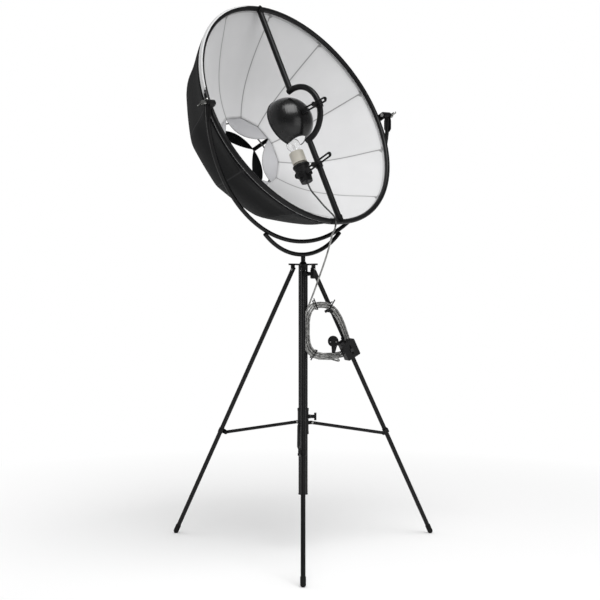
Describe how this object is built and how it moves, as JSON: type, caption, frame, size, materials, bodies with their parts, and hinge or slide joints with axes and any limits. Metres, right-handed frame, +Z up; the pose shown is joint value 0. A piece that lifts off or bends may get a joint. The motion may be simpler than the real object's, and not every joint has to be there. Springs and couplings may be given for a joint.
{
  "type": "floor lamp",
  "caption": "Folding tripod floor lamp with a lifting mast, a round yoke and a deep tilting cloth shade holding a bowl reflector and lamp on a cross bar.",
  "frame": {"origin": "on the floor at the mast's axis", "axes": "+Z up along the mast; the front leg points along -Y and the other two lie 30 degrees from the X axis toward +Y"},
  "size_m": [0.9204, 0.9084, 1.841],
  "materials": {
    "satin_black_metal": "satin black paint on steel tube",
    "black_fittings": "satin black paint on die-cast and turned fittings",
    "bright_steel": "bright zinc-plated steel",
    "plug_metal": "nickel-plated pins",
    "rib_steel": "spring steel",
    "black_plastic": "matt black moulded plastic",
    "gloss_black_plastic": "glossy black moulded plastic",
    "dimmer_grey": "grey slide button",
    "foot_rubber": "black rubber",
    "pale_lining": "light grey-white reflective cloth",
    "black_cover": "black woven nylon cloth",
    "bowl_black": "glossy black enamel",
    "lamp_cap": "grey-beige ceramic",
    "lamp_glass": "clear glass",
    "lamp_leads": "nickel leads",
    "cord_clear": "clear flexible sheath over pale cores"
  },
  "bodies": {
    "column": {"column_tube": "satin_black_metal", "column_end_cap": "black_plastic", "hub_spider": "satin_black_metal", "hub_collar": "satin_black_metal", "mast_bush": "black_plastic", "hinge_pins": "bright_steel", "cord_drop": "cord_clear"},
    "mast_knob": {"mast_clamp_knob": "black_plastic"},
    "front_leg": {"leg_front": "satin_black_metal", "knuckle_front": "black_fittings", "foot_front": "foot_rubber"},
    "right_leg": {"leg_right": "satin_black_metal", "knuckle_right": "black_fittings", "foot_right": "foot_rubber", "cord_clips": "black_plastic", "dimmer_box": "gloss_black_plastic", "cord_coil": "cord_clear", "cord_ties": "black_plastic", "cord_tail": "cord_clear", "plug_body": "gloss_black_plastic", "plug_pins": "plug_metal"},
    "left_leg": {"leg_left": "satin_black_metal", "knuckle_left": "black_fittings", "foot_left": "foot_rubber"},
    "dimmer_slide": {"dimmer_slider": "dimmer_grey"},
    "collar": {"collar_sleeve": "black_fittings", "collar_pins": "bright_steel"},
    "collar_knob": {"collar_screw": "black_plastic"},
    "front_strut": {"strut_front": "satin_black_metal"},
    "right_strut": {"strut_right": "satin_black_metal"},
    "left_strut": {"strut_left": "satin_black_metal"},
    "mast": {"inner_pole": "satin_black_metal", "pole_glide": "black_plastic"},
    "yoke": {"cradle_arc": "satin_black_metal", "yoke_arc": "satin_black_metal", "pivot_washers": "black_plastic"},
    "head": {"ring_tube": "satin_black_metal", "cross_bar": "satin_black_metal", "shade_lining": "pale_lining", "vent_petals": "pale_lining", "shade_cover": "black_cover", "shade_frame": "rib_steel", "vent_cap": "black_cover", "cable_clip": "black_plastic", "arm_clamp_upper": "black_fittings", "arm_clamp_lower": "black_fittings", "pivot_bolts": "bright_steel", "cord_head": "cord_clear"},
    "right_wing_nut": {"wing_nut_right": "bright_steel"},
    "left_wing_nut": {"wing_nut_left": "bright_steel"},
    "upper_knob": {"clamp_knob_upper": "black_plastic"},
    "lower_knob": {"clamp_knob_lower": "black_plastic"},
    "reflector": {"reflector_arm": "satin_black_metal", "reflector_bowl": "bowl_black"},
    "lampholder": {"holder_arm": "satin_black_metal", "lampholder_body": "black_plastic", "bulb_base": "lamp_cap", "bulb_glass": "lamp_glass", "bulb_filament": "lamp_leads"},
    "holder_knob": {"lampholder_knob": "black_plastic"}
  },
  "joints": [
    {"name": "right_leg_fold", "type": "hinge", "parent": "column", "child": "right_leg", "pos_m": [0.03464, 0.02, 0.946], "axis": [-0.5, 0.866, 0], "range_deg": [0, 21.15], "deforming": ["cord_drop"]},
    {"name": "front_leg_fold", "type": "hinge", "parent": "column", "child": "front_leg", "pos_m": [0, -0.04, 0.946], "axis": [1, 0, 0], "range_deg": [0, 21.3]},
    {"name": "left_leg_fold", "type": "hinge", "parent": "column", "child": "left_leg", "pos_m": [-0.03464, 0.02, 0.946], "axis": [-0.5, -0.866, 0], "range_deg": [0, 21.3]},
    {"name": "collar_slide", "type": "slide", "parent": "column", "child": "collar", "axis": [0, 0, 1], "range_m": [0, 0.1705]},
    {"name": "right_strut_swing", "type": "hinge", "parent": "collar", "child": "right_strut", "pos_m": [0.03038, 0.00138, 0.431], "axis": [-0.5, 0.866, 0], "range_deg": [0, 66.5]},
    {"name": "front_strut_swing", "type": "hinge", "parent": "collar", "child": "front_strut", "pos_m": [-0.014, -0.027, 0.431], "axis": [1, 0, 0], "range_deg": [0, 66.5]},
    {"name": "left_strut_swing", "type": "hinge", "parent": "collar", "child": "left_strut", "pos_m": [-0.01638, 0.02562, 0.431], "axis": [-0.5, -0.866, 0], "range_deg": [0, 66.5]},
    {"name": "mast_knob_turn", "type": "hinge", "parent": "column", "child": "mast_knob", "pos_m": [0.03204, -0.0185, 0.933], "axis": [0.866, -0.5, 0], "range_deg": [0, 180]},
    {"name": "collar_knob_turn", "type": "hinge", "parent": "collar", "child": "collar_knob", "pos_m": [0.04, 0, 0.452], "axis": [1, 0, 0], "range_deg": [0, 180]},
    {"name": "mast_lift", "type": "slide", "parent": "column", "child": "mast", "axis": [0, 0, 1], "range_m": [0, 0.6], "deforming": ["cord_drop"]},
    {"name": "yoke_swivel", "type": "hinge", "parent": "mast", "child": "yoke", "pos_m": [0, 0, 0.973], "axis": [0, 0, 1], "range_deg": [-180, 180], "deforming": ["cord_drop"]},
    {"name": "head_tilt", "type": "hinge", "parent": "yoke", "child": "head", "pos_m": [0, 0, 1.4795], "axis": [-0.6811, -0.7322, 0], "range_deg": [-72, 53], "deforming": ["cord_drop"]},
    {"name": "right_wing_nut_turn", "type": "hinge", "parent": "head", "child": "right_wing_nut", "pos_m": [0.30922, 0.33241, 1.4795], "axis": [0.6811, 0.7322, 0], "range_deg": [0, 180]},
    {"name": "left_wing_nut_turn", "type": "hinge", "parent": "head", "child": "left_wing_nut", "pos_m": [-0.30922, -0.33241, 1.4795], "axis": [-0.6811, -0.7322, 0], "range_deg": [0, 180]},
    {"name": "upper_knob_turn", "type": "hinge", "parent": "head", "child": "upper_knob", "pos_m": [0.0363, -0.06654, 1.49301], "axis": [-0.6811, -0.7322, 0], "range_deg": [0, 180]},
    {"name": "lower_knob_turn", "type": "hinge", "parent": "head", "child": "lower_knob", "pos_m": [0.03511, -0.06544, 1.29522], "axis": [-0.6811, -0.7322, 0], "range_deg": [0, 180]},
    {"name": "reflector_slide", "type": "slide", "parent": "head", "child": "reflector", "axis": [0.6911, -0.6429, 0.3302], "range_m": [-0.03, 0.012]},
    {"name": "lampholder_slide", "type": "slide", "parent": "head", "child": "lampholder", "axis": [0.6508, -0.6053, 0.4583], "range_m": [-0.05, 0.02], "deforming": ["cord_head"]},
    {"name": "lampholder_knob_turn", "type": "hinge", "parent": "lampholder", "child": "holder_knob", "pos_m": [-0.01721, -0.03043, 1.25866], "axis": [-0.6811, -0.7322, 0], "range_deg": [0, 90]},
    {"name": "dimmer_slide_move", "type": "slide", "parent": "right_leg", "child": "dimmer_slide", "axis": [-0.3952, -0.2281, 0.8898], "range_m": [-0.007, 0.011]}
  ],
  "couplings": [
    {"joint": "front_leg_fold", "follows": "right_leg_fold", "ratio": 1},
    {"joint": "left_leg_fold", "follows": "right_leg_fold", "ratio": 1},
    {"joint": "collar_slide", "follows": "right_leg_fold", "m_per_rad": 0.4608},
    {"joint": "right_strut_swing", "follows": "right_leg_fold", "ratio": 3.1314},
    {"joint": "front_strut_swing", "follows": "right_leg_fold", "ratio": 3.1314},
    {"joint": "left_strut_swing", "follows": "right_leg_fold", "ratio": 3.1314}
  ]
}
